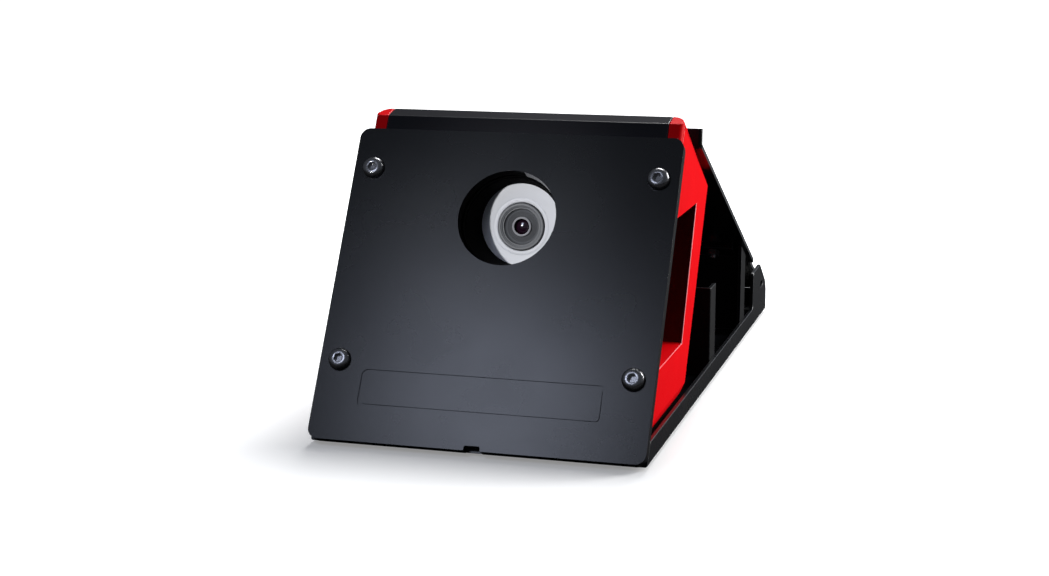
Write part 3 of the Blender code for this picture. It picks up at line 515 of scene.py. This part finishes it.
def button_head(name, node, radius, matrix):
    """Socket screw with a full dome, a flat rim round its socket and a real hexagon recess."""
    height = HEAD_HEIGHT
    hex_corner = HEX_ACROSS_FLATS / math.sqrt(3)
    flat = hex_corner + 0.0006
    dome = []
    for i in range(DOME_STEPS + 1):
        turn = math.pi / 2 * i / DOME_STEPS
        span = radius - flat
        dome.append((flat + span * math.sin(turn), height * (HEAD_BRIM + (1 - HEAD_BRIM) * math.cos(turn))))
    profile = [(0.0, height)] + dome + [
        (radius, HEAD_CHAMFER), (radius - HEAD_CHAMFER, 0.0), (SHANK_R, 0.0),
        (SHANK_R, -SHANK_LENGTH + TIP_CHAMFER), (SHANK_R - TIP_CHAMFER, -SHANK_LENGTH),
        (0.0, -SHANK_LENGTH)]
    screw = lathe(name, profile, Matrix.Identity(4), 64)
    screw.data.materials.append(MATERIAL["screw"])
    screw.data.materials.append(MATERIAL["screw_edge"])
    outline = arc(0, 0, hex_corner, math.radians(15), math.radians(375), 6)[:-1]
    socket = prism(name + "_socket", outline, height * 0.25, height * 2, Matrix.Identity(4))
    cut_by(screw, socket)
    bevelled(screw, 0.00025, 2, 50.0, EDGE)
    applied(screw, 40.0)
    bpy.data.objects.remove(socket)
    screw.data.transform(matrix)
    finish_piece(screw, "screw", BODY, [node], "screw_edge")


def guard_screws():
    for node in sorted(n for n in NODES if n.startswith("guard_screw_")):
        low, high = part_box(node)
        middle = (low + high) / 2
        along = (middle - PLATE_FOOT).dot(UP_THE_PLATE)
        seat = PLATE @ Vector((middle.x, along, 0.0003))
        turn = Matrix.Rotation(math.radians(11 * len(node) + 40 * (middle.x > 0)), 4, "Z")
        button_head(node + "_head", node, (high.x - low.x) / 2, frame_at(seat, PLATE_NORMAL) @ turn)


# ---------------------------------------------------------------- camera and its well
DARK_BANDS = ((0.0, 0.0098), (0.0112, 0.0118), (0.0141, 0.0160))    # radii from and to


def lens_front():
    """Stepped front ring of the lens with fine turned grooves."""
    profile = [(0.0145, 0.0), (0.0150, -0.0005), (0.0150, -0.0090), (0.0057, -0.0090), (0.0051, -0.0030),
               (0.0054, -0.0024), (0.0060, -0.0024), (0.0064, -0.0036)]
    radius = 0.0068
    while radius < 0.0108:
        profile += [(radius, -0.0034), (radius + 0.0003, -0.0032)]
        radius += 0.0005
    profile += [(0.0112, -0.0024), (0.0116, -0.0013), (0.0122, -0.0013), (0.0124, -0.0006),
                (0.0132, -0.0004), (0.0134, 0.0)]
    ring = lathe("lens_front_ring_finished", profile, LENS, 128, 25.0)
    ring.data.materials.append(MATERIAL["lens_metal"])
    ring.data.materials.append(MATERIAL["lens_shade"])
    for face in ring.data.polygons:
        away = face.center - LENS_POINT
        reach = (away - LENS_AXIS * away.dot(LENS_AXIS)).length
        if any(low < reach < high for low, high in DARK_BANDS):
            face.material_index = EDGE
    finish_piece(ring, "lens_metal", replaces=["lens_front_ring"], edge="lens_shade")
    rim = lathe("lens_inner_rim", [(0.0050, -0.0020), (0.0056, -0.0018), (0.0062, -0.0021),
                                   (0.0062, -0.0026), (0.0050, -0.0026)], LENS, 96, 40.0)
    finish_piece(rim, "lens_rim")
    glass = [(0.0, -0.0036)]
    glass += [(0.0047 * math.sin(t), -0.0036 - 0.0022 * (1 - math.cos(t)))
              for t in (math.radians(8 * i) for i in range(1, 12))]
    glass += [(0.0047, -0.0086), (0.0, -0.0086)]
    front = lathe("lens_front_glass_finished", glass, LENS, 64, 60.0)
    finish_piece(front, "glass", replaces=["lens_front_glass"])


def faceplate():
    """White disc round the lens, with a faint raised collar and a thin shadow gap."""
    low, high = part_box("camera_faceplate")
    radius = (high.x - low.x) / 2
    profile = [(radius, -0.0011), (radius, -0.0035), (0.0154, -0.0035), (0.0154, -0.0018),
               (0.0157, -0.0013), (0.0163, -0.0011), (0.0176, -0.0011), (0.0182, -0.0013),
               (0.0188, -0.0011)]
    disc = lathe("camera_faceplate_finished", profile, LENS, 128, 20.0)
    finish_piece(disc, "white", replaces=["camera_faceplate"])


KNURL_TEETH = 72
KNURL_DEPTH = 0.0005
RING_BORE_R = 0.01272


def knurled_rings():
    """Straight knurling on the two rings that turn; each rides on the body of its own name."""
    step = 2 * math.pi / KNURL_TEETH
    for node, radius, top, bottom in (("iris_ring", 0.0150, -0.0093, -0.0163),
                                      ("focus_ring", 0.0154, -0.0166, -0.0266)):
        outline = []
        for i in range(KNURL_TEETH):
            outline += arc(0, 0, radius, i * step, (i + 0.42) * step, 1)
            outline += arc(0, 0, radius - KNURL_DEPTH, (i + 0.55) * step, (i + 0.88) * step, 1)
        ring = prism(node + "_finished", outline, bottom, top, LENS)
        bore = prism(node + "_bore", arc(0, 0, RING_BORE_R, 0, 2 * math.pi, 64)[:-1], bottom - 0.01,
                     top + 0.01, LENS)
        cut_by(ring, bore)
        ring.data.materials.append(MATERIAL["plastic"])
        applied(ring, 30.0)
        bpy.data.objects.remove(bore)
        finish_piece(ring, "plastic", node, [node])


# ---------------------------------------------------------------- CAD nodes that keep their own mesh
KEPT = {
    "guard_spacer": "steel", "guard_nut": "steel", "panel_spacer": "steel", "panel_nut": "steel",
    "rubber_foot": "rubber", "camera_shroud": "well", "lens_lock_screw": "brass", "lens_barrel": "plastic",
    "camera_body": "plastic", "camera_shelf": "steel", "chassis": "steel", "image_sensor_board": "board",
    "radar_antenna_board": "board", "main_board": "board", "radar_heat_spreader": "alloy",
    "heat_sink": "alloy", "battery_pack": "wrap", "button_switch": "steel", "power_socket": "steel",
    "network_socket": "steel", "status_light": "light", "power_button": "plastic",
    "front_fascia": "well", "unit_base": "plastic",
}


def keep_nodes():
    for node, obj in NODES.items():
        for prefix, key in KEPT.items():
            if node.startswith(prefix):
                obj.data.materials.clear()
                obj.data.materials.append(MATERIAL[key])
                smooth(obj.data, 35.0)


# ---------------------------------------------------------------- build the object
front_plate()
refined("base_tray", "satin", "satin_edge", 0.00035)
rear_panel()
refined("bay_rib_front", "rib", "satin_edge", 0.00035)
refined("bay_rib_rear", "rib", "satin_edge", 0.00035)
guard_screws()
for index in range(1, 5):
    refined("panel_screw_%d" % index, "screw", "screw_edge", 0.0002, 2, 50.0)
side_cover("side_cover_left")
side_cover("side_cover_right")
refined("top_cap", "cap", "plastic_edge", 0.00045, 3, 22.0)
refined("rear_cover", "plastic", "plastic_edge", 0.00035)
lens_front()
faceplate()
knurled_rings()
keep_nodes()


# ---------------------------------------------------------------- studio
def camera_only(world_colour, other_colour, other_strength):
    """White backdrop to the camera, dim surroundings for everything else."""
    world = bpy.data.worlds.new("studio")
    bpy.context.scene.world = world
    world.use_nodes = True
    tree = world.node_tree
    output = tree.nodes["World Output"]
    seen = tree.nodes["Background"]
    seen.inputs["Color"].default_value = (*world_colour, 1.0)
    seen.inputs["Strength"].default_value = 1.0
    dim = tree.nodes.new("ShaderNodeBackground")
    dim.inputs["Color"].default_value = (*other_colour, 1.0)
    dim.inputs["Strength"].default_value = other_strength
    path = tree.nodes.new("ShaderNodeLightPath")
    mix = tree.nodes.new("ShaderNodeMixShader")
    tree.links.new(path.outputs["Is Camera Ray"], mix.inputs[0])
    tree.links.new(dim.outputs[0], mix.inputs[1])
    tree.links.new(seen.outputs[0], mix.inputs[2])
    tree.links.new(mix.outputs[0], output.inputs["Surface"])


FOOTPRINT = (max(cad_bounds[1].x, -cad_bounds[0].x), max(cad_bounds[1].y, -cad_bounds[0].y), 1.0)
GLOW_FADE = 0.16            # how far beyond the footprint the painted shadow fades and the glow is full again
# the floor's glow under the object and well away from it; the lower value is a painted shadow
PAINTED_SHADOW_GLOW, GLOW_OPEN = 0.27, 1.05


def floor():
    """Plain white table whose glow is painted darker under and round the object: a painted shadow that deepens its
    soft shadow.
    """
    mesh = bpy.data.meshes.new("studio_floor")
    work = bmesh.new()
    bmesh.ops.create_grid(work, x_segments=2, y_segments=2, size=8.0)
    work.to_mesh(mesh)
    work.free()
    table = add_object("studio_floor", mesh)
    made = Nodes("white_table", (0.80, 0.80, 0.80), 0.9)
    made.bump(made.noise(300.0, 2.0), 0.00005, 0.05)
    tree = made.tree
    beyond = made.place
    for operation, value in (("ABSOLUTE", None), ("SUBTRACT", FOOTPRINT), ("MAXIMUM", (0.0, 0.0, 0.0)),
                             ("LENGTH", None)):
        away = tree.nodes.new("ShaderNodeVectorMath")
        away.operation = operation
        tree.links.new(beyond, away.inputs[0])
        if value:
            away.inputs[1].default_value = value
        beyond = away.outputs[0]
    glow = tree.nodes.new("ShaderNodeEmission")
    glow.inputs["Color"].default_value = (1.0, 1.0, 1.0, 1.0)
    strength = made.ramp(away.outputs["Value"], 0.0, GLOW_FADE, PAINTED_SHADOW_GLOW, GLOW_OPEN)
    tree.links.new(strength, glow.inputs["Strength"])
    both = tree.nodes.new("ShaderNodeAddShader")
    dark = tree.nodes.new("ShaderNodeBsdfDiffuse")
    dark.inputs["Color"].default_value = (0.03, 0.03, 0.03, 1.0)
    path = tree.nodes.new("ShaderNodeLightPath")
    mix = tree.nodes.new("ShaderNodeMixShader")
    tree.links.new(made.shader.outputs[0], both.inputs[0])
    tree.links.new(glow.outputs[0], both.inputs[1])
    tree.links.new(path.outputs["Is Camera Ray"], mix.inputs[0])
    tree.links.new(dark.outputs[0], mix.inputs[1])
    tree.links.new(both.outputs[0], mix.inputs[2])
    tree.links.new(mix.outputs[0], tree.nodes["Material Output"].inputs["Surface"])
    table.data.materials.append(made.material)


def lamp(name, kind, place, target, power, colour=(1, 1, 1)):
    data = bpy.data.lights.new(name, kind)
    data.energy = power
    data.color = colour
    light = bpy.data.objects.new(name, data)
    bpy.context.scene.collection.objects.link(light)
    light.location = place
    light.rotation_euler = (Vector(target) - Vector(place)).to_track_quat("-Z", "Y").to_euler()
    light.visible_camera = False
    return data


def area_light(name, place, target, size, power, colour=(1, 1, 1)):
    lamp(name, "AREA", place, target, power, colour).size = size


def snooted_spot(name, place, target, reach, power):
    """Hard narrow light whose pool has the radius reach at its target."""
    data = lamp(name, "SPOT", place, target, power)
    data.spot_size = 2 * math.atan(reach / (Vector(target) - Vector(place)).length)
    data.spot_blend = 0.6
    data.shadow_soft_size = 0.035


PLATE_LOWER = PLATE @ Vector((0.0, 0.060, 0.0))


def studio():
    camera_only((1.0, 1.0, 1.0), (0.80, 0.88, 1.0), 0.10)
    floor()
    snooted_spot("window_spot", LENS_POINT + Vector((-0.316, -0.93, 0.307)) * 2.0, LENS_POINT, 0.075, 127.0)
    area_light("plate_reflection", (-0.2295, -0.80, 0.591), PLATE_LOWER, 0.22, 0.86, (0.80, 0.87, 1.08))
    area_light("rear_top", (0.0, 1.15, 1.65), (0.0, 0.0, 0.05), 0.8, 38.0)
    area_light("rear_right", (1.4, 0.9, 0.40), (0.1, -0.05, 0.10), 0.6, 27.0)
    area_light("right_box", (0.62, 0.25, 0.52), (0.10, -0.08, 0.14), 0.30, 2.8)


def camera():
    """The photo's view, from a fit to the plate's corners, window and screws."""
    data = bpy.data.cameras.new("camera")
    data.sensor_width = 36.0
    data.lens = 61.773
    data.clip_start = 0.01
    view = bpy.data.objects.new("camera", data)
    bpy.context.scene.collection.objects.link(view)
    view.location = (0.3130, -1.2048, 0.3127)
    view.rotation_euler = (math.radians(78.46), 0.0, math.radians(16.04))
    bpy.context.scene.camera = view


studio()
camera()
bpy.context.scene.view_settings.view_transform = "Standard"
